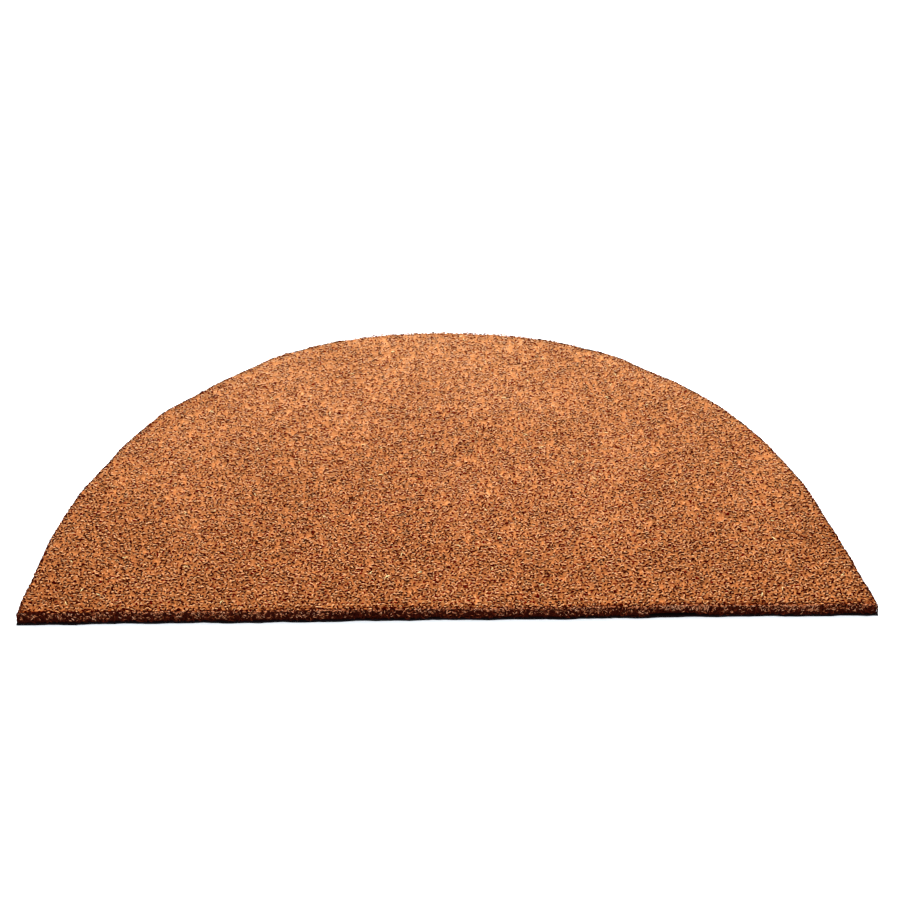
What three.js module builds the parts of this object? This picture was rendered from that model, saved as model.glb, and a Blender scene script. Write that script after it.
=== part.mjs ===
import * as THREE from 'three';
import { mergeVertices } from 'three/addons/utils/BufferGeometryUtils.js';

// A half round coir doormat lying flat on the floor, in millimetres.
// X runs along the straight front edge, Y towards the round back, Z up.
// The origin is on the floor, under the middle of the mat.

// Driving dimensions
const matWidth = 750;
const matDepth = 450;
const matHeight = 15;
const backingThickness = 2.2;
const backingInset = 0.2;
const bondGap = 0.3;

// Spacing of the points along the edge, the number of rings across the pile's top,
// and the place inside the outline that the rings close in on
const edgeStep = 10;
const topRings = 8;
const ringCentre = new THREE.Vector2(0, -36);

// The round side is a slightly squared ellipse, which strays where the mat was cut:
// each row is an angle seen from the middle of the front edge, and how far out the cut is there.
const arcSquareness = 2.15;
const cutStrays = [
  { degrees: 0, outwards: 2.5 },
  { degrees: 5, outwards: -0.8 },
  { degrees: 12, outwards: -2.6 },
  { degrees: 24, outwards: 0.6 },
  { degrees: 40, outwards: 3.2 },
  { degrees: 46, outwards: 2.4 },
  { degrees: 53, outwards: -1.0 },
  { degrees: 58, outwards: 2.2 },
  { degrees: 68, outwards: 0.2 },
  { degrees: 82, outwards: -0.6 },
  { degrees: 95, outwards: -0.5 },
  { degrees: 104, outwards: 0.2 },
  { degrees: 118, outwards: 1.0 },
  { degrees: 127, outwards: -3.6 },
  { degrees: 134, outwards: -2.9 },
  { degrees: 141, outwards: 1.7 },
  { degrees: 148, outwards: 1.3 },
  { degrees: 153, outwards: 0.2 },
  { degrees: 160, outwards: 1.5 },
  { degrees: 173, outwards: -0.5 },
  { degrees: 180, outwards: 0.9 },
];

// Small waves all along the cut edge: the length of each wave and its reach to either side
const edgeWaves = [
  { length: 250, reach: 0.4, start: -0.9 },
  { length: 71, reach: 0.35, start: 0.4 },
  { length: 33, reach: 0.3, start: 2.1 },
];

// Soft lumps of the pile's top: their lengths along X and Y, and their height either way
const pileLumps = [
  { alongX: 260, alongY: 150, start: 0.8, height: 0.25 },
  { alongX: 115, alongY: 88, start: 2.6, height: 0.2 },
  { alongX: 74, alongY: 61, start: 4.4, height: 0.15 },
];

// The cut side of the pile, from its foot to its top: the height of each line above the foot
// as a share of the pile, and how far it lies inside the widest one.
const pileSide = [
  { share: 0, inset: 0.4 },
  { share: 0.4, inset: 0 },
  { share: 0.8, inset: 0.4 },
  { share: 0.95, inset: 1.6 },
];
const topEdgeInset = 4;
const undersideInset = 5;

// A worn place on the front edge, where the foot of the pile has lifted off the backing:
// its middle and length along the edge, how far it lifts, and how far in it eases out
const wornPlace = { middle: 198, length: 66, lift: 3, reach: 12 };

const pileFoot = backingThickness + bondGap;

const backingMaterial = new THREE.MeshStandardMaterial({
  color: 0x15110f,
  roughness: 0.75,
  metalness: 0,
});
const coirMaterial = new THREE.MeshStandardMaterial({
  color: 0xb06f3f,
  roughness: 0.95,
  metalness: 0,
});

// Eased value between the two rows of a table that a place lies between
function easedBetween(rows, key, value, place) {
  const next = Math.max(1, rows.findIndex((row) => row[key] >= place));
  const [from, to] = [rows[next - 1], rows[next]];
  const share = THREE.MathUtils.smoothstep(place, from[key], to[key]);
  return THREE.MathUtils.lerp(from[value], to[value], share);
}

// Point of the round side at an angle seen from the middle of the front edge
function arcPoint(degrees) {
  const angle = THREE.MathUtils.degToRad(degrees);
  const across = Math.abs(Math.cos(angle)) ** arcSquareness;
  const back = Math.abs(Math.sin(angle)) ** arcSquareness;
  const reach = (across + back) ** (-1 / arcSquareness);
  const point = new THREE.Vector2(
    (Math.cos(angle) * reach * matWidth) / 2,
    Math.sin(angle) * reach * matDepth,
  );
  const outwards = easedBetween(cutStrays, 'degrees', 'outwards', degrees);
  return point.setLength(point.length() + outwards);
}

// Inward step at each point of a closed line that runs anticlockwise, mitred at its corners
function inwardSteps(line) {
  return line.map((point, i) => {
    const arriving = point.clone().sub(line.at(i - 1)).normalize();
    const leaving = line[(i + 1) % line.length].clone().sub(point).normalize();
    const along = arriving.clone().add(leaving).normalize();
    return new THREE.Vector2(-along.y, along.x).divideScalar(along.dot(arriving));
  });
}

function insetLine(line, distance) {
  const steps = inwardSteps(line);
  return line.map((point, i) => point.clone().addScaledVector(steps[i], distance));
}

// Stretches and shifts a line so that it fills the mat's width and depth around the origin
function fittedLine(line) {
  const box = new THREE.Box2().setFromPoints(line);
  const size = box.getSize(new THREE.Vector2());
  const centre = box.getCenter(new THREE.Vector2());
  const scale = new THREE.Vector2(matWidth, matDepth).divide(size);
  return line.map((point) => point.clone().sub(centre).multiply(scale));
}

// The mat's widest outline: the front edge from left to right, then the round side back again
function matOutline() {
  const [right, left] = [arcPoint(0), arcPoint(180)];
  const frontSteps = Math.round(matWidth / edgeStep);
  const arcSteps = Math.round((Math.PI * (matWidth / 2 + matDepth)) / 2 / edgeStep);
  const front = Array.from({ length: frontSteps }, (_, i) => left.clone().lerp(right, i / frontSteps));
  const arc = Array.from({ length: arcSteps }, (_, i) => arcPoint((180 * i) / arcSteps));
  const line = [...front, ...arc];
  const steps = inwardSteps(line);
  const waveAt = (i, { length, reach, start }) =>
    reach * Math.sin((2 * Math.PI * i * edgeStep) / length + start);
  const waved = line.map((point, i) => {
    const stray = edgeWaves.reduce((sum, wave) => sum + waveAt(i, wave), 0);
    return point.clone().addScaledVector(steps[i], stray);
  });
  return fittedLine(waved);
}

// 1 at the middle of the worn place on the front edge, easing to 0 at its ends and behind it
function wornShare(point) {
  const alongFront = Math.abs(point.x - wornPlace.middle) / (wornPlace.length / 2);
  const behindFront = (point.y + matDepth / 2) / wornPlace.reach;
  const easeOut = (share) => 1 - THREE.MathUtils.smoothstep(share, 0, 1);
  return easeOut(alongFront) * easeOut(behindFront);
}

// Height of the pile's top above its foot, with the soft lumps
function pileHeightAt(point) {
  return pileLumps.reduce((height, lump) => {
    const waveX = Math.sin((2 * Math.PI * point.x) / lump.alongX + lump.start);
    const waveY = Math.cos((2 * Math.PI * point.y) / lump.alongY - lump.start);
    return height - lump.height * (1 - waveX * waveY);
  }, matHeight - pileFoot);
}

// One closed body through rings of points, from the middle of its underside to the middle of its top
function ringedGeometry(rings, bottom, top) {
  const count = rings[0].length;
  const positions = [bottom, ...rings.flat(), top].flatMap((point) => point.toArray());
  const at = (ring, i) => 1 + ring * count + (i % count);
  const last = 1 + rings.length * count;
  const triangles = [];
  for (let i = 0; i < count; i += 1) {
    triangles.push(0, at(0, i + 1), at(0, i));
    for (let ring = 0; ring + 1 < rings.length; ring += 1) {
      const [a, b] = [at(ring, i), at(ring, i + 1)];
      const [c, d] = [at(ring + 1, i + 1), at(ring + 1, i)];
      triangles.push(a, b, c, a, c, d);
    }
    triangles.push(last, at(rings.length - 1, i), at(rings.length - 1, i + 1));
  }
  const geometry = new THREE.BufferGeometry();
  geometry.setAttribute('position', new THREE.Float32BufferAttribute(positions, 3));
  geometry.setIndex(triangles);
  geometry.computeVertexNormals();
  return geometry;
}

// The sheet of plastic that the pile is bonded to, cut with it
function backingGeometry(outline) {
  const shape = new THREE.Shape(insetLine(outline, backingInset));
  const geometry = new THREE.ExtrudeGeometry(shape, { depth: backingThickness, bevelEnabled: false });
  geometry.deleteAttribute('uv');
  geometry.deleteAttribute('normal');
  const merged = mergeVertices(geometry);
  merged.computeVertexNormals();
  return merged;
}

// The pile: flat underneath, a cut side that bellies out a little, and a softly lumpy top
function pileGeometry(outline) {
  const level = (line, height) => line.map((point) => new THREE.Vector3(point.x, point.y, height));
  const shrunk = (line, share) => line.map((point) => ringCentre.clone().lerp(point, share));

  const underside = insetLine(outline, undersideInset);
  const undersideRings = [0.5, 1].map((share) => level(shrunk(underside, share), pileFoot));

  const sideRings = pileSide.map(({ share, inset }) =>
    insetLine(outline, inset).map((point) => {
      const lift = wornShare(point) * wornPlace.lift * (1 - share);
      return new THREE.Vector3(point.x, point.y, pileFoot + pileHeightAt(point) * share + lift);
    }),
  );

  const topEdge = insetLine(outline, topEdgeInset);
  const onTop = (point) => new THREE.Vector3(point.x, point.y, pileFoot + pileHeightAt(point));
  const topRingLines = Array.from({ length: topRings }, (_, i) => shrunk(topEdge, 1 - i / topRings));

  return ringedGeometry(
    [...undersideRings, ...sideRings, ...topRingLines.map((line) => line.map(onTop))],
    new THREE.Vector3(ringCentre.x, ringCentre.y, pileFoot),
    onTop(ringCentre),
  );
}

function namedMesh(name, geometry, material) {
  const mesh = new THREE.Mesh(geometry, material);
  mesh.name = name;
  return mesh;
}

const outline = matOutline();
const group = new THREE.Group();
group.name = 'half_round_coir_doormat';
group.add(namedMesh('backing', backingGeometry(outline), backingMaterial));
group.add(namedMesh('coir_pile', pileGeometry(outline), coirMaterial));

export default group;
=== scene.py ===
import math

import bpy
import numpy as np
from mathutils import Matrix, Vector
from mathutils.bvhtree import BVHTree
from mathutils.geometry import delaunay_2d_cdt


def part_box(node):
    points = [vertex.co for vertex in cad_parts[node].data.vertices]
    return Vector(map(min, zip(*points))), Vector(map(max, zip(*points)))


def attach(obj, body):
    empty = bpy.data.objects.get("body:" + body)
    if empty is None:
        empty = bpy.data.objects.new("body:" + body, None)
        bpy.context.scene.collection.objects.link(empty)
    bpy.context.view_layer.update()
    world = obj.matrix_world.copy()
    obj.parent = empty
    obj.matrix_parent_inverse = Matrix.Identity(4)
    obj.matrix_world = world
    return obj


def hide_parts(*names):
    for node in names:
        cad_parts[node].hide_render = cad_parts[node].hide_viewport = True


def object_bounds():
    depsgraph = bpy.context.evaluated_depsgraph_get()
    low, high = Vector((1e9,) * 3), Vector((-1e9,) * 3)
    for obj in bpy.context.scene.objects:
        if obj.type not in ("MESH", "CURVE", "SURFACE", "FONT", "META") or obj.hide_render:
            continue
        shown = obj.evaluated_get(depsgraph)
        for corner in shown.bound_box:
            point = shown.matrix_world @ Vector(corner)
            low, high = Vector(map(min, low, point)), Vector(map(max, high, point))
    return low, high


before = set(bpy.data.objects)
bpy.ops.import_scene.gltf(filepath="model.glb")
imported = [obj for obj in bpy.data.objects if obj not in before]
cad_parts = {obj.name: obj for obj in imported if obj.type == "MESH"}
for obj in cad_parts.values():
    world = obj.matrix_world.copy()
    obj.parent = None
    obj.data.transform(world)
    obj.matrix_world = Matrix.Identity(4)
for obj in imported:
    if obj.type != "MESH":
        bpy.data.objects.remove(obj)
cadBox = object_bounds()


# Shader nodes

class Wire:  # one output of a shader node, so that its maths reads as plain Python
    def __init__(self, finish, output):
        self.finish = finish
        self.output = output

    def maths(self, operation, first, second):
        return self.finish.add("ShaderNodeMath", {"operation": operation}, {0: first, 1: second})

    def __add__(self, other):
        return self.maths("ADD", self, other)

    def __radd__(self, other):
        return self.maths("ADD", other, self)

    def __sub__(self, other):
        return self.maths("SUBTRACT", self, other)

    def __rsub__(self, other):
        return self.maths("SUBTRACT", other, self)

    def __mul__(self, other):
        return self.maths("MULTIPLY", self, other)

    def __rmul__(self, other):
        return self.maths("MULTIPLY", other, self)


class Finish:  # a material, made node by node round its Principled shader
    def __init__(self, name, evenAllOver):
        self.material = bpy.data.materials.new(name)
        self.material.use_nodes = True
        self.tree = self.material.node_tree
        self.shader = self.tree.nodes["Principled BSDF"]
        self.plug(self.shader, evenAllOver)

    def plug(self, node, sockets):
        for key, value in sockets.items():
            if isinstance(value, Wire):
                self.tree.links.new(value.output, node.inputs[key])
            else:
                node.inputs[key].default_value = value

    def add(self, kind, settings, sockets, output=0):
        node = self.tree.nodes.new(kind)
        for key, value in settings.items():
            if key == "stops":
                self.setStops(node.color_ramp, value)
            else:
                setattr(node, key, value)
        self.plug(node, sockets)
        return Wire(self, node.outputs[output])

    def setStops(self, ramp, stops):
        while len(ramp.elements) < len(stops):
            ramp.elements.new(0.5)
        for element, (place, colour) in zip(ramp.elements, stops):
            element.position = place
            element.color = (*colour, 1)

    def place(self):  # metres in the mat's own frame
        return self.add("ShaderNodeTexCoord", {}, {}, "Object")

    def parts(self, vector):  # its x, y and z
        split = self.add("ShaderNodeSeparateXYZ", {}, {"Vector": vector})
        return [Wire(self, output) for output in split.output.node.outputs]

    def scaled(self, vector, times):  # each axis or colour by its own number
        return self.add("ShaderNodeVectorMath", {"operation": "MULTIPLY"}, {0: vector, 1: times})

    def kept(self, name):  # a number kept on the mesh's points
        return self.add("ShaderNodeAttribute", {"attribute_name": name}, {}, "Fac")

    def noise(self, place, size, detail):  # about 0 to 1, in lumps of that size in metres
        return self.add("ShaderNodeTexNoise", {}, {"Vector": place, "Scale": 1 / size, "Detail": detail})

    def bump(self, height, depth):
        return self.add("ShaderNodeBump", {}, {"Height": height, "Distance": depth, "Strength": 1.0})

    def shade(self, **sockets):
        named = {"colour": "Base Color", "roughness": "Roughness", "normal": "Normal"}
        self.plug(self.shader, {named[key]: value for key, value in sockets.items()})


# Shades of the coir, from the painted shade of the deepest gap to a bleached tip: tone, and shares of light
# returned
topShades = [
    (0.0, (0.034, 0.0004, 0.0001)),
    (0.08, (0.096, 0.0004, 0.0001)),
    (0.22, (0.170, 0.0100, 0.0007)),
    (0.46, (0.305, 0.054, 0.0070)),
    (0.70, (0.545, 0.205, 0.066)),
    (1.0, (0.79, 0.440, 0.222)),
]
rootShades = [  # browner in its darker half, for the bed under the curls
    (0.0, (0.020, 0.0030, 0.0018)),
    (0.20, (0.070, 0.0105, 0.0040)),
    (0.44, (0.250, 0.068, 0.020)),
    (0.70, (0.545, 0.205, 0.066)),
    (1.0, (0.79, 0.440, 0.222)),
]
sideShades = [  # duller, for the cut side
    (0.0, (0.020, 0.0030, 0.0018)),
    (0.20, (0.070, 0.0105, 0.0045)),
    (0.44, (0.240, 0.062, 0.022)),
    (0.70, (0.44, 0.175, 0.084)),
    (1.0, (0.60, 0.320, 0.205)),
]
# What the shades are multiplied by, at the front edge and at the back: painted sheen, paler and bluer at
# the back as where the view grazes the back-lit fibres
frontTint = np.array([1.03, 0.95, 0.86])
backTint = np.array([0.91, 0.99, 1.08])

coirLook = {
    "broad": {"size": 0.11, "tone": 0.20},     # wide lighter and darker patches
    "fine": {"size": 0.0011, "tone": 0.12},    # change from fibre to fibre
    "stroke": {"size": 0.0026, "from": 0.42},  # short dark strokes of painted shade, as in the gaps between tufts, where their noise is under "from"
    "strokeShape": (1.0, 1.5, 0.2),            # how many times shorter they are along each axis
    "paintedBackLight": 0.16,                             # painted light: tone gained for each metre towards the back, where the key light falls more strongly
    "perDepth": 2.2,                           # turns metres across the mat into a share of its depth
    "roughness": 0.78,
    "roughnessSwing": 0.25,
    "grain": {"size": 0.0006, "depth": 0.00012},
}


def coirFinish(name, shades, furrows):  # furrows is how far the dark strokes of painted gap shade take the tone down
    broad, fine, stroke, grain = (coirLook[key] for key in ("broad", "fine", "stroke", "grain"))
    finish = Finish(name, {"Specular IOR Level": 0.0})
    place = finish.place()
    patchy = finish.noise(place, broad["size"], 2.0)
    speckled = finish.noise(place, fine["size"], 2.0)
    _, back, _ = finish.parts(place)
    paintedBackLight = back * coirLook["paintedBackLight"]  # painted light: the back half is made lighter, as where the key light falls more strongly
    struck = finish.noise(finish.scaled(place, coirLook["strokeShape"]), stroke["size"], 1.0)
    furrow = finish.add("ShaderNodeMath", {"operation": "MAXIMUM"}, {0: stroke["from"] - struck, 1: 0.0})
    tone = finish.kept("tone") + (patchy - 0.5) * broad["tone"] + (speckled - 0.5) * fine["tone"]
    tone = tone + paintedBackLight - furrow * furrows
    colour = finish.add("ShaderNodeValToRGB", {"stops": shades}, {"Fac": tone})
    depth = back * coirLook["perDepth"] + 0.5  # 0 at the front edge, 1 at the back
    # Painted sheen: the tint goes from the front's to the back's
    tint = finish.add(
        "ShaderNodeVectorMath",
        {"operation": "MULTIPLY_ADD"},
        {0: depth, 1: backTint - frontTint, 2: frontTint},
    )
    finish.shade(
        colour=finish.scaled(colour, tint),
        roughness=coirLook["roughness"] + (speckled - 0.5) * coirLook["roughnessSwing"],
        normal=finish.bump(finish.noise(place, grain["size"], 1.0), grain["depth"]),
    )
    return finish.material


def backingFinish():
    finish = Finish("black plastic backing", {"Specular IOR Level": 0.03})
    place = finish.place()
    grain = finish.noise(place, 0.0012, 3.0)
    cloud = finish.noise(place, 0.045, 2.0)
    stops = [(0.3, (0.0014, 0.0007, 0.0009)), (0.75, (0.0045, 0.0026, 0.0030))]
    finish.shade(
        colour=finish.add("ShaderNodeValToRGB", {"stops": stops}, {"Fac": 0.6 * cloud + 0.4 * grain}),
        roughness=0.5 + 0.3 * grain,
        normal=finish.bump(grain, 0.00025),
    )
    return finish.material


def strawFinish():
    finish = Finish("bleached straw", {"Specular IOR Level": 0.1})
    along = finish.noise(finish.place(), 0.004, 1.0)
    stops = [(0.3, (0.86, 0.60, 0.22)), (0.7, (0.95, 0.82, 0.42))]
    finish.shade(
        colour=finish.add("ShaderNodeValToRGB", {"stops": stops}, {"Fac": along}),
        roughness=0.5 + 0.2 * along,
    )
    return finish.material


# Meshes

def makePiece(name, points, faces, corners, material, numbers=None, smooth=True):
    # faces is a list of arrays of point numbers, each array with its own number of sides. corners
    # holds the place of each face's corners on the piece's flat map, and numbers what points carry.
    mesh = bpy.data.meshes.new(name)
    mesh.vertices.add(len(points))
    mesh.vertices.foreach_set("co", np.asarray(points, np.float32).ravel())
    sides = np.concatenate([np.full(len(group), group.shape[1]) for group in faces])
    mesh.loops.add(int(sides.sum()))
    around = np.concatenate([group.ravel() for group in faces])
    mesh.loops.foreach_set("vertex_index", around.astype(np.int32))
    mesh.polygons.add(len(sides))
    mesh.polygons.foreach_set("loop_start", (np.cumsum(sides) - sides).astype(np.int32))
    mesh.update(calc_edges=True)
    flat = mesh.uv_layers.new(name="OFBake")
    onMap = np.concatenate([group.ravel() for group in corners])
    flat.uv.foreach_set("vector", onMap.astype(np.float32))
    for key, values in (numbers or {}).items():
        attribute = mesh.attributes.new(key, "FLOAT", "POINT")
        attribute.data.foreach_set("value", np.asarray(values, np.float32))
    mesh.polygons.foreach_set("use_smooth", np.full(len(sides), smooth))
    mesh.materials.append(material)
    mesh.validate()
    piece = bpy.data.objects.new(name, mesh)
    bpy.context.scene.collection.objects.link(piece)
    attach(piece, "root")
    mesh.calc_loop_triangles()
    print(name, len(mesh.loop_triangles), "triangles")
    return piece


def unit(vectors):
    return vectors / np.maximum(np.linalg.norm(vectors, axis=-1, keepdims=True), 1e-12)


def eased(share):
    share = np.clip(share, 0, 1)
    return share * share * (3 - 2 * share)


def patches(spots, size, draw):  # soft lumps of about that size, mostly from -1.5 to 1.5
    waves = 16  # wave trains laid over each other
    turn, start = draw.uniform(0, 2 * math.pi, (2, waves))
    pitch = 2 * math.pi / size * draw.uniform(0.5, 1.4, waves)
    phase = spots @ (pitch * np.array([np.cos(turn), np.sin(turn)])) + start
    return np.cos(phase).sum(1) / math.sqrt(waves / 2)


# The mat's outline, taken from the frame's backing

def cutLine(node):
    corners = np.array([v.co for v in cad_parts[node].data.vertices])
    top = corners[corners[:, 2] > corners[:, 2].max() - 0.0001]
    flat = np.unique(top[:, :2].round(6), axis=0)
    middle = (flat.min(0) + flat.max(0)) / 2
    turn = np.arctan2(flat[:, 1] - middle[1], flat[:, 0] - middle[0])
    return flat[np.argsort(turn)]


def walked(line, step, closed=True):  # the line again, with its corners kept and points about step apart
    starts = line if closed else line[:-1]
    ends = np.roll(line, -1, axis=0)[:len(starts)]
    parts = np.maximum(1, np.round(np.linalg.norm(ends - starts, axis=1) / step)).astype(int)
    return np.concatenate([a + (b - a) * np.arange(n)[:, None] / n for a, b, n in zip(starts, ends, parts)])


def outwardSteps(line):  # at each point, mitred at the corners
    arriving = unit(line - np.roll(line, 1, axis=0))
    leaving = unit(np.roll(line, -1, axis=0) - line)
    along = unit(arriving + leaving)
    across = np.stack([along[:, 1], -along[:, 0]], 1)
    return across / np.maximum((along * arriving).sum(1), 0.5)[:, None]


backingLine = cutLine("backing")
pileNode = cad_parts["coir_pile"]
pileLow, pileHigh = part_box("coir_pile")
backingLow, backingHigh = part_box("backing")
outline = backingLine + outwardSteps(backingLine) * (backingLow.x - pileLow.x)
outline = np.roll(outline, -int(np.argmin(outline.sum(1))), axis=0)  # begins at the left front corner
rightCorner = int(np.argmax(outline[:, 0] - outline[:, 1]))
frontEdge = outline[:rightCorner + 1]
roundEdge = np.concatenate([outline[rightCorner:], outline[:1]])
pileFoot = pileLow.z
pileTree = BVHTree.FromPolygons(
    [v.co.copy() for v in pileNode.data.vertices], [tuple(p.vertices) for p in pileNode.data.polygons])


def insideOf(spots, edge):  # how far each spot lies inside an edge, and the way inwards from there
    nearest = np.full(len(spots), 1.0)  # a metre, which is farther than any edge
    signed = np.full(len(spots), 1.0)
    inwards = np.zeros((len(spots), 2))
    for start, end in zip(edge[:-1], edge[1:]):
        way = end - start
        normal = unit(np.array([-way[1], way[0]]))
        share = np.clip(((spots - start) @ way) / (way @ way), 0, 1)
        distance = np.linalg.norm(spots - start - share[:, None] * way, axis=1)
        nearer = distance < nearest
        nearest[nearer] = distance[nearer]
        signed[nearer] = distance[nearer] * np.sign((spots[nearer] - start) @ normal)
        inwards[nearer] = normal
    return signed, inwards


def insideCut(spots):
    return np.minimum(insideOf(spots, frontEdge)[0], insideOf(spots, roundEdge)[0])


def trimmed(paths, frontMargin, roundMargin):  # points too near the cut line are brought further in
    flat = paths[..., :2].reshape(-1, 2)
    for edge, margin in ((frontEdge, frontMargin), (roundEdge, roundMargin)):
        inside, inwards = insideOf(flat, edge)
        flat = flat + inwards * np.maximum(0, np.ravel(margin) - inside)[:, None]
    return np.concatenate([flat.reshape(*paths.shape[:2], 2), paths[..., 2:]], 2)


# Heights of the pile's top are read a little inside the cut, so that it stays level up to the edge
topReading = {"above": 0.01, "towards": (0.0, -0.036), "inside": 0.009}


def topHeights(spots):  # height of the CAD pile's top at each spot
    over = pileHigh.z + topReading["above"]
    inward = np.array(topReading["towards"]) - spots
    shift = np.minimum(topReading["inside"], np.linalg.norm(inward, axis=1, keepdims=True))
    spots = spots + unit(inward) * shift
    hits = [pileTree.ray_cast(Vector((x, y, over)), Vector((0, 0, -1)))[0] for x, y in spots]
    return np.array([hit.z if hit else pileFoot for hit in hits])


def latticeSpots(spacing, jitter, draw):  # rows of spots over the mat's box, each moved a little
    across = np.arange(cadBox[0].x, cadBox[1].x, spacing)
    back = np.arange(cadBox[0].y, cadBox[1].y, spacing * math.sqrt(0.75))
    x, y = np.meshgrid(across, back)
    x = x + (np.arange(len(back)) % 2)[:, None] * spacing / 2
    spots = np.stack([x.ravel(), y.ravel()], 1)
    return spots + draw.uniform(-jitter, jitter, spots.shape) * spacing


# The worn place on the front edge, where the pile's foot has lifted off the backing
wornPlace = {"middle": 0.196, "length": 0.068, "lift": 0.0045, "reach": 0.012}


def wornShare(spots):
    along = np.abs(spots[:, 0] - wornPlace["middle"]) / (wornPlace["length"] / 2)
    front = np.interp(spots[:, 0], frontEdge[:, 0], frontEdge[:, 1])
    behind = (spots[:, 1] - front) / wornPlace["reach"]
    return (1 - eased(along)) * (1 - eased(behind))


def footHeights(spots):
    return pileFoot + wornShare(spots) * wornPlace["lift"]


# The mat's two front corners, where the foot is spread a little beyond the pile's top. "ends" is
# where along the mat this begins and is full, and "front" is how far behind the front edge it ends.
spread = {"reach": 0.0027, "ends": (0.335, 0.372), "front": 0.05}


def spreadFoot(points):
    across, back, up = points[:, 0], points[:, 1] - cadBox[0].y, points[:, 2]
    ends = eased((np.abs(across) - spread["ends"][0]) / (spread["ends"][1] - spread["ends"][0]))
    front = 1 - eased(back / spread["front"])
    foot = (1 - (up / pileHigh.z).clip(0, 1)) ** 2
    moved = np.array(points, float)
    moved[:, 0] += np.sign(across) * spread["reach"] * ends * front * foot
    return moved


# Flat maps: the top in the lower part of the picture, then bands for the side and for hidden faces

topBand = 0.84
sideBand = (0.86, 0.97)
hiddenBand = (0.98, 1.0)
mapEdge = 0.005  # left empty round the picture


def boxShare(spots):  # from 0 to 1 along and across the mat's box
    low, high = (np.array(corner)[:2] for corner in cadBox)
    return (spots - low) / (high - low)


def onTopMap(spots):
    return mapEdge + boxShare(spots).clip(0, 1) * (1 - 2 * mapEdge, topBand - 2 * mapEdge)


def onHiddenMap(spots):
    share = boxShare(spots)
    across = mapEdge + (1 - 2 * mapEdge) * share[:, 0]
    return np.stack([across, hiddenBand[0] + (hiddenBand[1] - hiddenBand[0]) * share[:, 1]], 1)


def sideFaces(rings, first, count):  # faces and map corners between rings of points, from the foot up
    faces, corners = [], []
    here = np.arange(count)
    after = (here + 1) % count
    for ring in range(rings - 1):
        low, high = first + ring * count, first + (ring + 1) * count
        faces.append(np.stack([low + here, low + after, high + after, high + here], 1))
        left, right = here / count, (here + 1) / count
        share = (sideBand[1] - sideBand[0]) / (rings - 1)
        bottom, top = sideBand[0] + share * ring, sideBand[0] + share * (ring + 1)
        spots = [(left, bottom), (right, bottom), (right, top), (left, top)]
        corners.append(np.stack([np.stack([u, np.full(count, v)], 1) for u, v in spots], 1))
    return faces, corners


# Backing: a die cut plastic sheet with slightly rounded rims

backingSizes = {"step": 0.004, "rim": 0.0002, "wobble": 0.00012}


def makeBacking():
    line = walked(backingLine, backingSizes["step"])
    count = len(line)
    steps = outwardSteps(line)
    draw = np.random.default_rng(11)
    wobble = draw.normal(0, backingSizes["wobble"], (count, 1))
    rim, high = backingSizes["rim"], backingHigh.z
    levels = [(0, -rim), (rim, 0), (high / 2, 0), (high - rim, 0), (high, -rim)]
    rings = []
    for height, outwards in levels:
        spots = line + steps * (outwards + wobble * (outwards == 0))
        rings.append(np.column_stack([spots, np.full(count, height)]))
    faces, corners = sideFaces(len(levels), 0, count)
    under = np.arange(count)[None, ::-1]
    over = (len(levels) - 1) * count + np.arange(count)[None]
    return makePiece(
        "backing_sheet",
        spreadFoot(np.concatenate(rings)),
        faces + [under, over],
        corners + [onTopMap(rings[0][::-1, :2])[None], onHiddenMap(rings[-1][:, :2])[None]],
        backingFinish(),
        smooth=False,
    )


# Pile bed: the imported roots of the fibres, which show dark between the curls

bedSizes = {
    "spacing": 0.0030,        # between the points of its top
    "jitter": 0.28,           # how far each point strays, as a share of the spacing
    "rimGap": 0.6,            # least gap between the rim and those points, as a share of the spacing
    "sunk": 0.0017,           # below the tips of the pile
    "relief": 0.0004,         # height of its tufts, either way
    "edgeStep": 0.0022,
    "edgeRelief": 0.0004,
    "edgeLimit": 0.001,
    "lip": (0.0011, 0.0003),  # rim below the tips, where the cut faces the front or back, and a side
    "lipReading": 0.006,      # how far inside the cut the tips' height is read for the rim
}
bedTones = {
    "top": 0.70,
    "level": 0.0013,          # depth below the tips at which the top has that tone
    "perDepth": 110,          # painted shade: tone lost for each metre deeper
    "spread": 0.05,
    "side": (-0.10, 0.12),    # at the foot, and what it gains towards the tips: painted shade, darkest at the foot
    "rim": (0.12, 0.48),      # where the cut faces the front, and elsewhere
    "facesFront": -0.5,
}
bedSide = [  # share of the height, and how far inside the cut line
    (0.0, 0.0013),
    (0.25, 0.0011),
    (0.5, 0.0010),
    (0.75, 0.0010),
    (0.94, 0.0012),
    (1.0, 0.0024),
]


def facesSide(across):  # 1 where the cut faces left or right, 0 where it faces the front or back
    least, full = 0.15, 0.50
    return eased((np.abs(across) - least) / (full - least))


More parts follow.
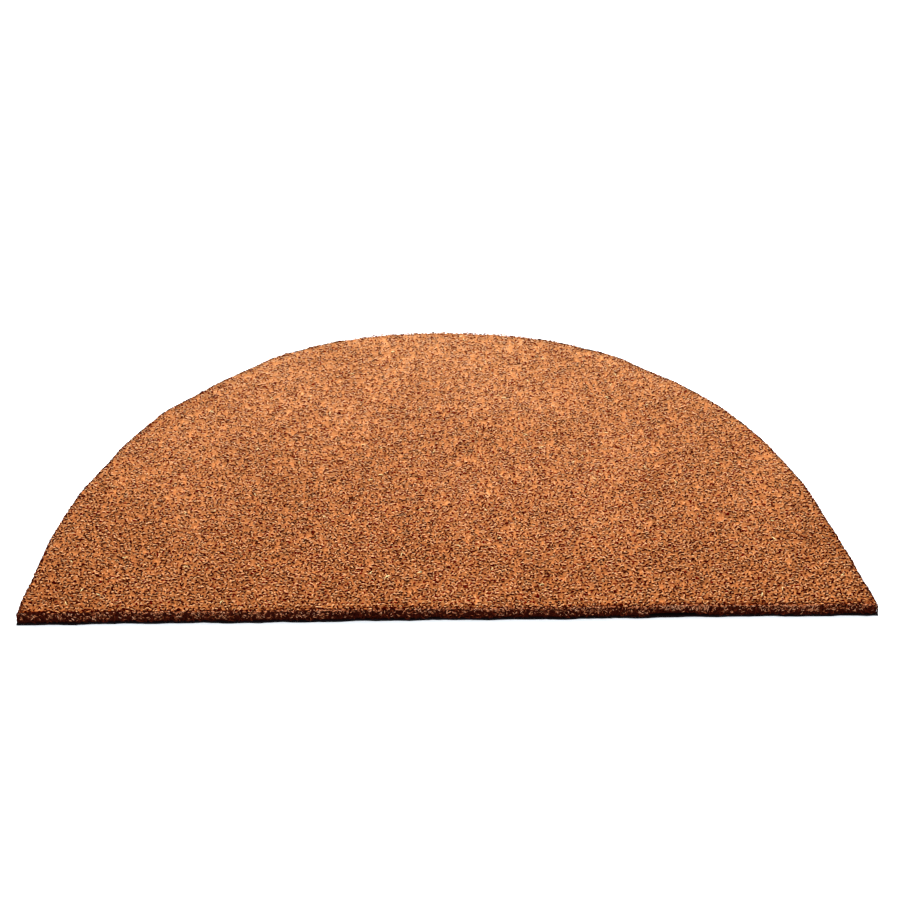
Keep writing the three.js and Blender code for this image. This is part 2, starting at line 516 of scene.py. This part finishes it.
def makePileBed():
    draw = np.random.default_rng(5)
    line = walked(outline, bedSizes["edgeStep"])
    steps = outwardSteps(line)
    count = len(line)
    frontLip, sideLip = bedSizes["lip"]
    ringHeights = topHeights(line - steps * bedSizes["lipReading"]) - frontLip
    ringHeights += (frontLip - sideLip) * facesSide(steps[:, 0])
    rings = []
    for share, inside in bedSide:
        rough = draw.normal(0, bedSizes["edgeRelief"], (count, 1))
        rough = rough.clip(-bedSizes["edgeLimit"], bedSizes["edgeLimit"])
        spots = line - steps * (inside - rough * (share > 0))
        foot = footHeights(spots)
        rings.append(np.column_stack([spots, foot + (ringHeights - foot) * share]))
    inner = rings[-1][:, :2]
    spots = latticeSpots(bedSizes["spacing"], bedSizes["jitter"], draw)
    spots = spots[insideCut(spots) > bedSide[-1][1] + bedSizes["rimGap"] * bedSizes["spacing"]]
    plan = [Vector(p) for p in np.concatenate([inner, spots])]
    found, _, triangles, *_ = delaunay_2d_cdt(plan, [], [list(range(count))], 1, 1e-7)
    found = np.array([tuple(p) for p in found])
    triangles = np.array(triangles)
    tips = topHeights(found)
    heights = tips - bedSizes["sunk"] + draw.uniform(-1, 1, len(found)) * bedSizes["relief"]
    heights[:count] = rings[-1][:, 2]
    firstTop = (len(bedSide) - 1) * count
    points = np.concatenate([*rings[:-1], np.column_stack([found, heights])])
    faces, corners = sideFaces(len(bedSide), 0, count)
    under = np.arange(count)[None, ::-1]
    topCorners = onTopMap(found)[triangles.ravel()].reshape(-1, 3, 2)
    # The cut side and its lip are dark, partly the fibres' own colour and partly painted shade that is
    # darkest at the foot, and the top is painted darker the deeper it lies between the tufts, as shade
    below = np.concatenate([np.full(firstTop, 0.0), tips - heights])
    tone = bedTones["top"] - bedTones["perDepth"] * (below - bedTones["level"])
    tone += draw.normal(0, bedTones["spread"], len(points))
    side = np.concatenate([ring[:, 2] for ring in rings[:-1]])
    atFoot, gained = bedTones["side"]
    tone[:firstTop] = atFoot + gained * eased((side - pileFoot) / (pileHigh.z - pileFoot))
    tone[firstTop:firstTop + count] = np.where(steps[:, 1] < bedTones["facesFront"], *bedTones["rim"])
    return makePiece(
        "pile_bed",
        spreadFoot(points),
        faces + [under, firstTop + triangles],
        corners + [onHiddenMap(rings[0][::-1, :2])[None], topCorners],
        coirFinish("coir roots", rootShades, 1.2),
        {"tone": tone},
    )


# Strands: a curved spindle of three sides along each path, its crest painted lighter and its flanks darker,
# as light and shade

strandLook = {
    "swell": (0.2, 0.6),  # share of the length that tapers at each end, and how bluntly
    "roll": 0.4,          # how far it twists at each step, in radians
    "tone": 0.03,         # change of tone from point to point
    "mapGap": 0.08,       # left empty round its square on the flat map
}


def strandPiece(name, paths, thickness, facing, tone, crest, material, draw):
    # facing is the way each strand's crest points, and tone is that of each point of its path
    count, steps = paths.shape[:2]
    taper, bluntness = strandLook["swell"]
    along = unit(np.gradient(paths, axis=1))
    side = unit(np.cross(facing[:, None], along))
    over = np.cross(along, side)
    share = np.linspace(0, 1, steps)
    swell = np.sin(np.pi * share.clip(taper, 1 - taper)) ** bluntness
    roll = math.pi / 2 + draw.normal(0, strandLook["roll"], (count, steps))
    angle = roll[..., None] + np.arange(3) * 2 * math.pi / 3
    radius = (thickness[:, None] / 2 * swell)[..., None, None]
    skin = paths[:, :, None] + radius * (
        np.cos(angle)[..., None] * side[:, :, None] + np.sin(angle)[..., None] * over[:, :, None])
    each = 2 + 3 * (steps - 2)
    points = np.concatenate([paths[:, :1], skin[:, 1:-1].reshape(count, -1, 3), paths[:, -1:]], 1)
    column = np.arange(3)
    after = (column + 1) % 3
    ringStart = 1 + 3 * np.arange(steps - 2)
    ends = np.concatenate([
        np.stack([np.zeros(3, int), 1 + after, 1 + column], 1),
        np.stack([np.full(3, each - 1), ringStart[-1] + column, ringStart[-1] + after], 1)])
    walls = np.concatenate([
        np.stack([low + column, low + after, low + 3 + after, low + 3 + column], 1)
        for low in ringStart[:-1]])
    first = (np.arange(count) * each)[:, None, None]
    triangles = (ends[None] + first).reshape(-1, 3)
    quads = (walls[None] + first).reshape(-1, 4)
    # Each strand has a square of its own on the flat map
    perRow = math.ceil(math.sqrt(count))
    cell = np.stack([np.arange(count) % perRow, np.arange(count) // perRow], 1)[:, None, None] / perRow
    level = 1 / (steps - 1)
    endMap = np.array(
        [[((c + 0.5) / 3, 0), ((c + 1) / 3, level), (c / 3, level)] for c in range(3)]
        + [[((c + 0.5) / 3, 1), (c / 3, 1 - level), ((c + 1) / 3, 1 - level)] for c in range(3)])
    around = [(0, 0), (1, 0), (1, 1), (0, 1)]
    wallMap = np.array([
        [((c + right) / 3, (r + up) * level) for right, up in around]
        for r in range(1, steps - 2) for c in range(3)])
    gap = strandLook["mapGap"]
    corners = [
        (cell + (gap + (1 - 2 * gap) * part[None]) / perRow).reshape(-1, part.shape[1], 2)
        for part in (endMap, wallMap)]
    # Painted light and shade: the crest gains tone and the flanks lose it
    tones = tone[:, 1:-1, None] + crest * np.sin(angle[:, 1:-1])
    tones = tones + draw.normal(0, strandLook["tone"], tones.shape)
    tones = np.concatenate([tone[:, :1], tones.reshape(count, -1), tone[:, -1:]], 1)
    points = points.reshape(-1, 3)
    return makePiece(name, points, [triangles, quads], corners, material, {"tone": tones.ravel()})


# Curls: the bent tips of the fibre tufts, which make the mat's whole top

curlSizes = {
    "pieces": 4,
    "steps": 4,
    "jitter": 0.36,                 # how far each curl strays, as a share of the spacing
    "inside": 0.0006,               # least distance of its middle inside the cut line
    "turn": (0.4, 2.6),             # how far each curl bends round, in radians
    "sway": 0.35,                   # how far its two halves bend apart
    "arch": (0.0002, 0.0008),
    "slope": 0.0003,                # one end above the middle and the other below
    "sunk": (0.0001, 0.0008),       # middle of a curl below the pile's top
    "dip": 0.0006,                  # ends below the middle
    "frontEdge": (0.0006, 0.0026),  # least distance inside the cut line, along the front,
    "roundEdge": (0.0016, 0.0026),  # and round the back: where the cut faces the back, and to a side
    "clump": 0.013,                 # size of the clumps that stand higher or lower
    "clumpRise": 0.00025,
}
curlTones = {
    "crest": 0.06,          # painted light and shade: gained on the crest and lost on the flanks
    "ends": 0.06,
    "clump": 0.03,
    "sunk": 100,            # painted shade: lost for each metre that a curl sinks under "sunkFrom"
    "sunkFrom": 0.0006,
    "frontEdge": 0.15,      # lost along the front edge, as far in as "frontReach"
    "frontReach": 0.007,
    "frontCorners": 0.11,
}

# Three kinds of curl. The dark ones are painted shade, as of the gaps between the tufts, and each has a
# light one close beside it, most of the time, as a painted highlight on the gap's lit rim. "kept" is the
# share that is made, "squeeze" flattens a curl from front to back, "spread" is the change of tone
# from curl to curl, and "atBack" is the tone added and the thickness left at the mat's back.
curlKinds = {
    "dark": {
        "spacing": 0.0035, "kept": 0.82, "length": (0.0028, 0.0056), "thickness": (0.0015, 0.0022),
        "squeeze": 0.55, "tone": 0.04, "spread": 0.05, "rise": 0.0004, "atBack": (0.06, 0.80)},
    "light": {
        "kept": 0.75, "aside": (0.0012, 0.0016), "thickness": (0.0008, 0.0011),
        "tone": 1.03, "spread": 0.05, "rise": 0.0004, "atBack": (-0.10, 0.90)},
    "plain": {
        "spacing": 0.0039, "kept": 1.0, "length": (0.0035, 0.0065), "thickness": (0.0009, 0.0013),
        "squeeze": 0.7, "tone": 0.755, "spread": 0.035, "rise": 0.0, "atBack": (0.0, 1.0)},
}
# More painted shade of the gaps: added to the share of dark curls that is kept, at the front, in the
# clumps, and along the front edge
darker = {"front": 0.42, "clump": 0.05, "frontEdge": 0.25, "reach": 0.009}

# Places where curls are worn away: metres along and across the mat, and the hole's radius
bareSpots = [
    {"along": -0.272, "across": -0.044, "radius": 0.0028},
    {"along": -0.290, "across": -0.094, "radius": 0.0024},
    {"along": -0.317, "across": -0.108, "radius": 0.0026},
    {"along": 0.352, "across": -0.208, "radius": 0.0024},
    {"along": 0.186, "across": -0.2165, "radius": 0.0028},
]


def curlPaths(spots, kind, draw):
    count, steps = len(spots), curlSizes["steps"]
    share = np.linspace(0, 1, steps)
    length = draw.uniform(*kind["length"], count)
    bend = draw.uniform(*curlSizes["turn"], count) * draw.choice([-1, 1], count)
    sway = draw.normal(0, curlSizes["sway"], count)
    heading = (
        draw.uniform(0, 2 * math.pi, count)[:, None]
        + bend[:, None] * (share - 0.5)
        + sway[:, None] * np.sin(2 * math.pi * share))
    between = (heading[:, 1:] + heading[:, :-1]) / 2
    moves = np.stack([np.cos(between), kind["squeeze"] * np.sin(between)], 2)
    moves *= (length / (steps - 1))[:, None, None]
    flat = np.concatenate([np.zeros((count, 1, 2)), np.cumsum(moves, 1)], 1)
    flat += spots[:, None] - flat.mean(1, keepdims=True)
    arch = draw.uniform(*curlSizes["arch"], count)[:, None] * np.sin(math.pi * share)
    slope = draw.normal(0, curlSizes["slope"], count)[:, None] * (share - 0.5) * 2
    dip = curlSizes["dip"] * (2 * share - 1) ** 2
    sunk = draw.uniform(*curlSizes["sunk"], count)[:, None]
    return flat, arch + slope - dip - sunk


def backShare(spots):  # 0 at the front edge, 1 at the back
    return (spots[:, 1] - cadBox[0].y) / (cadBox[1].y - cadBox[0].y)


def curlSpots(kind, draw):
    spots = latticeSpots(kind["spacing"], curlSizes["jitter"], draw)
    clump = patches(spots, curlSizes["clump"], draw)
    atFront = 1 - eased(insideOf(spots, frontEdge)[0] / darker["reach"])
    extra = darker["front"] * (0.5 - backShare(spots)) - darker["clump"] * clump
    extra += darker["frontEdge"] * atFront
    share = kind["kept"] + (kind["kept"] < 1) * extra
    kept = (insideCut(spots) > curlSizes["inside"]) & (draw.uniform(0, 1, len(spots)) < share)
    for bare in bareSpots:
        kept &= np.hypot(spots[:, 0] - bare["along"], spots[:, 1] - bare["across"]) > bare["radius"]
    return spots[kept]


def makeCurls():
    draw = np.random.default_rng(23)
    laid = {}
    for key in ("dark", "plain"):
        laid[key] = curlPaths(curlSpots(curlKinds[key], draw), curlKinds[key], draw)
    # Light curls, a painted highlight, lie beside the dark ones and bend the same way
    flat, rise = laid["dark"]
    chord = unit(flat[:, -1] - flat[:, 0])
    aside = draw.uniform(*curlKinds["light"]["aside"], len(flat)) * draw.choice([-1, 1], len(flat))
    beside = flat + (np.stack([-chord[:, 1], chord[:, 0]], 1) * aside[:, None])[:, None]
    paired = draw.uniform(0, 1, len(flat)) < curlKinds["light"]["kept"]
    laid["light"] = beside[paired], rise[paired]
    paths, thickness, tone = [], [], []
    share = np.linspace(0, 1, curlSizes["steps"])
    for key, (flat, rise) in laid.items():
        kind, spots, count = curlKinds[key], flat.mean(1), len(flat)
        clump = patches(spots, curlSizes["clump"], np.random.default_rng(7))
        rise = rise + (kind["rise"] + clump * curlSizes["clumpRise"])[:, None]
        way = np.concatenate([flat, (topHeights(spots)[:, None] + rise)[..., None]], 2)
        backEdge, sideEdge = curlSizes["roundEdge"]
        roundMargin = backEdge + (sideEdge - backEdge) * facesSide(insideOf(spots, roundEdge)[1][:, 0])
        frontMargin = draw.uniform(*curlSizes["frontEdge"], count)
        paths.append(trimmed(way, np.repeat(frontMargin, len(share)), np.repeat(roundMargin, len(share))))
        lighter, thinner = kind["atBack"]
        thickness.append(draw.uniform(*kind["thickness"], count) * (1 + (thinner - 1) * backShare(spots)))
        middle = draw.normal(kind["tone"], kind["spread"], count) + clump * curlTones["clump"]
        middle += lighter * backShare(spots)
        atFront = 1 - eased(insideOf(spots, frontEdge)[0] / curlTones["frontReach"])
        atCorners = (spots[:, 0] / cadBox[1].x) ** 2 * (1 - backShare(spots))
        middle -= curlTones["frontEdge"] * atFront + curlTones["frontCorners"] * atCorners
        ends = curlTones["ends"] * (2 * share - 1) ** 4
        # Painted shade on curls that sink deep
        tooLow = np.maximum(0, -rise - curlTones["sunkFrom"])
        tone.append(middle[:, None] - ends - curlTones["sunk"] * tooLow)
    paths, thickness, tone = (np.concatenate(part) for part in (paths, thickness, tone))
    part = draw.integers(0, curlSizes["pieces"], len(paths))
    material = coirFinish("coir curls", topShades, 0.4)
    up = np.tile([0.0, 0.0, 1.0], (len(paths), 1))
    pieces = []
    for number in range(curlSizes["pieces"]):
        mine = part == number
        pieces.append(strandPiece(
            f"coir_curls_{number + 1}", paths[mine], thickness[mine], up[mine], tone[mine],
            curlTones["crest"], material, draw))
    return pieces


# Cut side: six kinds of fibre ends that stand along the cut. "place" is the part of the edge they
# stand on, "from" their feet's height as a share of the pile, "lean" how far they tilt, in radians,
# "over" how far they may pass the pile's top, and "inside" how far they keep inside the cut line.

sideKinds = {
    # The dark fibres' darkness is partly their own colour and partly painted shade on the cut side
    "dark": {
        "place": "all", "count": 4000, "length": (0.004, 0.010),
        "thickness": (0.0007, 0.0013), "lean": 0.5, "from": (-0.2, 0.6),
        "over": -0.0004, "inside": 0.0005, "tone": 0.08, "spread": 0.08},
    "light": {
        "place": "all", "count": 2900, "length": (0.0018, 0.0042),
        "thickness": (0.0004, 0.0008), "lean": 1.0, "from": (0.22, 0.95),
        "over": -0.0004, "inside": 0.0003, "tone": 0.68, "spread": 0.20},
    "rim": {
        "place": "slanted", "count": 1500, "length": (0.0025, 0.0045),
        "thickness": (0.0007, 0.0010), "lean": 1.1, "from": (0.86, 0.99),
        "over": 0.0004, "inside": 0.0018, "tone": 0.02, "spread": 0.04},
    "hanging": {
        "place": "hanging", "count": 400, "length": (0.0018, 0.0036),
        "thickness": (0.0008, 0.0012), "lean": 1.2, "from": (0.87, 0.98),
        "over": 0.0003, "inside": 0.0003, "tone": 0.60, "spread": 0.12},
    "frayed": {
        "place": "worn", "count": 26, "length": (0.003, 0.006),
        "thickness": (0.0003, 0.0005), "lean": 0.8, "from": (0.2, 0.9),
        "over": 0.0, "inside": -0.0004, "tone": 0.90, "spread": 0.12},
    "combed": {
        "place": "combed", "count": 22, "length": (0.004, 0.008),
        "thickness": (0.0004, 0.0007), "lean": 0.12, "from": (0.25, 0.5),
        "over": 0.0004, "inside": -0.0002, "tone": 0.70, "spread": 0.25},
}
sideSizes = {
    "steps": 5,
    "walk": 0.001,                # between the spots they can stand on
    "curl": 0.0007,
    "bulge": (-0.0002, 0.0004),
    "overFoot": 0.0002,           # least height above the pile's foot
    "drawnIn": 0.0010,            # how far the round side's rim is drawn in
    # painted light and shade: tone gained on the outward crest and lost on the flanks
    "crest": 0.05,
}
# Along the mat: the middle and half length of the worn and combed places, and where the others begin
sidePlaces = {"worn": (0.197, 0.009), "combed": (0.219, 0.007), "hanging": -0.28, "slanted": 0.11}


def sideStretch(place):  # the part of the edge these fibres stand along, point by point
    front, back = (walked(edge, sideSizes["walk"], closed=False) for edge in (frontEdge, roundEdge))
    if place == "all":
        return np.concatenate([front, back])
    if place == "slanted":
        return back[np.abs(back[:, 0]) > sidePlaces[place]]
    if place == "hanging":
        return front[front[:, 0] > sidePlaces[place]]
    middle, half = sidePlaces[place]
    return front[np.abs(front[:, 0] - middle) < half]


def sidePaths(kind, draw):
    count = kind["count"]
    stretch = draw.choice(sideStretch(kind["place"]), count)
    edges = [insideOf(stretch, edge) for edge in (frontEdge, roundEdge)]
    nearFront = np.abs(edges[0][0]) < np.abs(edges[1][0])
    inwards = np.where(nearFront[:, None], edges[0][1], edges[1][1])
    outwards = np.column_stack([-inwards, np.zeros(count)])
    along = np.column_stack([-outwards[:, 1], outwards[:, 0], np.zeros(count)])
    top, foot = topHeights(stretch), footHeights(stretch)
    height = foot + (top - foot) * draw.uniform(*kind["from"], count)
    start = np.column_stack([stretch, height])
    tilt = draw.normal(0, kind["lean"], count)[:, None]
    way = np.cos(tilt) * np.array([0.0, 0.0, 1.0]) + np.sin(tilt) * along
    share = np.linspace(0, 1, sideSizes["steps"])
    length = draw.uniform(*kind["length"], count)[:, None]
    curl = draw.normal(0, sideSizes["curl"], count)[:, None] * np.sin(math.pi * share)
    bulge = draw.uniform(*sideSizes["bulge"], count)[:, None] * np.sin(math.pi * share)
    paths = (
        start[:, None]
        + way[:, None] * (length * share)[..., None]
        + along[:, None] * curl[..., None])
    lowest, highest = foot + sideSizes["overFoot"], top + kind["over"]
    paths[..., 2] = np.clip(paths[..., 2], lowest[:, None], highest[:, None])
    rising = ((paths[..., 2] - foot[:, None]) / (top - foot)[:, None]).clip(0, 1)
    drawnIn = kind["inside"] + sideSizes["drawnIn"] * rising ** 4
    paths = trimmed(paths, np.full(rising.shape, kind["inside"]), drawnIn)
    paths = paths + outwards[:, None] * bulge[..., None]
    return spreadFoot(paths.reshape(-1, 3)).reshape(paths.shape), outwards


def makeSideFibres():
    draw = np.random.default_rng(31)
    paths, facing, thickness, tone = [], [], [], []
    for kind in sideKinds.values():
        way, outwards = sidePaths(kind, draw)
        paths.append(way)
        facing.append(outwards)
        thickness.append(draw.uniform(*kind["thickness"], kind["count"]))
        tone.append(draw.normal(kind["tone"], kind["spread"], kind["count"]))
    tone = np.repeat(np.concatenate(tone)[:, None], sideSizes["steps"], 1)
    paths, thickness, facing = (np.concatenate(part) for part in (paths, thickness, facing))
    material = coirFinish("coir side", sideShades, 0.0)
    return strandPiece("side_fibres", paths, thickness, facing, tone, sideSizes["crest"], material, draw)


# Straw: a few bleached strands lying on the top

strawSizes = {
    "count": 80,
    "steps": 6,
    "length": (0.0030, 0.0070),
    "thickness": 0.0007,
    "inside": 0.008,        # least distance inside the cut line
    "turn": 1.0,            # how far each bends round, in radians
    "rise": 0.0010,         # its ends above the pile's top
    "arch": 0.0006,
    "tuckedEnd": 0.0008,
}


def makeStraw():
    draw = np.random.default_rng(47)
    spots = draw.uniform(np.array(cadBox[0])[:2], np.array(cadBox[1])[:2], (strawSizes["count"] * 2, 2))
    spots = spots[insideCut(spots) > strawSizes["inside"]][:strawSizes["count"]]
    count, steps = len(spots), strawSizes["steps"]
    share = np.linspace(0, 1, steps)
    first = draw.uniform(0, 2 * math.pi, count)[:, None]
    heading = first + draw.normal(0, strawSizes["turn"], count)[:, None] * share
    length = draw.uniform(*strawSizes["length"], count)
    moves = np.stack([np.cos(heading), np.sin(heading)], 2) * (length / (steps - 1))[:, None, None]
    flat = spots[:, None] + np.cumsum(moves, 1) - moves.mean(1, keepdims=True) * steps / 2
    rise = strawSizes["rise"] + strawSizes["arch"] * np.sin(math.pi * share)
    rise[-1] -= strawSizes["tuckedEnd"]
    paths = np.concatenate([flat, (topHeights(spots)[:, None] + rise)[..., None]], 2)
    up = np.tile([0.0, 0.0, 1.0], (count, 1))
    thickness = np.full(count, strawSizes["thickness"])
    tone = np.ones((count, steps))
    return strandPiece("straw_strands", paths, thickness, up, tone, 0.0, strawFinish(), draw)


backingSheet = makeBacking()
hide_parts("backing")

pileBed = makePileBed()
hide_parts("coir_pile")
strands = [*makeCurls(), makeSideFibres(), makeStraw()]


# Floor, light and camera

studio = {
    "floorSize": 12.0,
    "floorShade": 0.93,
    "skyColour": (0.90, 0.95, 1.0),
    "skyStrength": 2.0,
    "keyPlace": (0.05, 2.10, 1.50),
    "keySize": (2.0, 1.0),
    "keyPower": 118.0,
    "keyColour": (1.0, 0.96, 0.91),
}


def makeFloor():
    half = studio["floorSize"] / 2
    mesh = bpy.data.meshes.new("floor")
    corners = [(-half, -half, 0), (half, -half, 0), (half, half, 0), (-half, half, 0)]
    mesh.from_pydata(corners, [], [(0, 1, 2, 3)])
    colour = (*[studio["floorShade"]] * 3, 1)
    finish = Finish("pale floor", {"Base Color": colour, "Roughness": 0.9, "Specular IOR Level": 0.1})
    mesh.materials.append(finish.material)
    floor = bpy.data.objects.new("floor", mesh)
    bpy.context.scene.collection.objects.link(floor)


def makeKey():
    light = bpy.data.lights.new("key", "AREA")
    light.shape = "RECTANGLE"
    light.size, light.size_y = studio["keySize"]
    light.energy = studio["keyPower"]
    light.color = studio["keyColour"]
    lamp = bpy.data.objects.new("key", light)
    lamp.location = studio["keyPlace"]
    lamp.rotation_mode = "QUATERNION"
    lamp.rotation_quaternion = (-lamp.location).to_track_quat("-Z", "Y")
    lamp.visible_camera = False
    bpy.context.scene.collection.objects.link(lamp)


def makeSky():
    world = bpy.data.worlds.new("studio")
    bpy.context.scene.world = world
    world.use_nodes = True
    sky = world.node_tree.nodes["Background"]
    sky.inputs["Color"].default_value = (*studio["skyColour"], 1)
    sky.inputs["Strength"].default_value = studio["skyStrength"]


makeFloor()
makeKey()
makeSky()
scene = bpy.context.scene
scene.view_settings.view_transform = "Standard"

# The photo's view: an ordinary lens, standing in front of the mat and a little to its left
view = {
    "place": (-0.0203, -0.9979, 0.7875),
    "turn": 1.433,
    "tilt": 37.719,
    "roll": 0.348,
    "lens": 50.0,
    "film": 36.0,
    "near": 0.05,
    "far": 50.0,
}


def makeCamera():
    turn, tilt, roll = (math.radians(view[key]) for key in ("turn", "tilt", "roll"))
    level = math.cos(tilt)
    ahead = Vector((math.sin(turn) * level, math.cos(turn) * level, -math.sin(tilt)))
    sideways = Vector((math.cos(turn), -math.sin(turn), 0))
    upright = sideways.cross(ahead)
    right = math.cos(roll) * sideways + math.sin(roll) * upright
    up = math.cos(roll) * upright - math.sin(roll) * sideways
    lens = bpy.data.cameras.new("camera")
    lens.sensor_width = view["film"]
    lens.lens = view["lens"]
    lens.clip_start = view["near"]
    lens.clip_end = view["far"]
    camera = bpy.data.objects.new("camera", lens)
    axes = Matrix((right, up, -ahead)).transposed().to_4x4()
    camera.matrix_world = Matrix.Translation(view["place"]) @ axes
    scene.collection.objects.link(camera)
    scene.camera = camera


makeCamera()
print("floor, light and camera made")
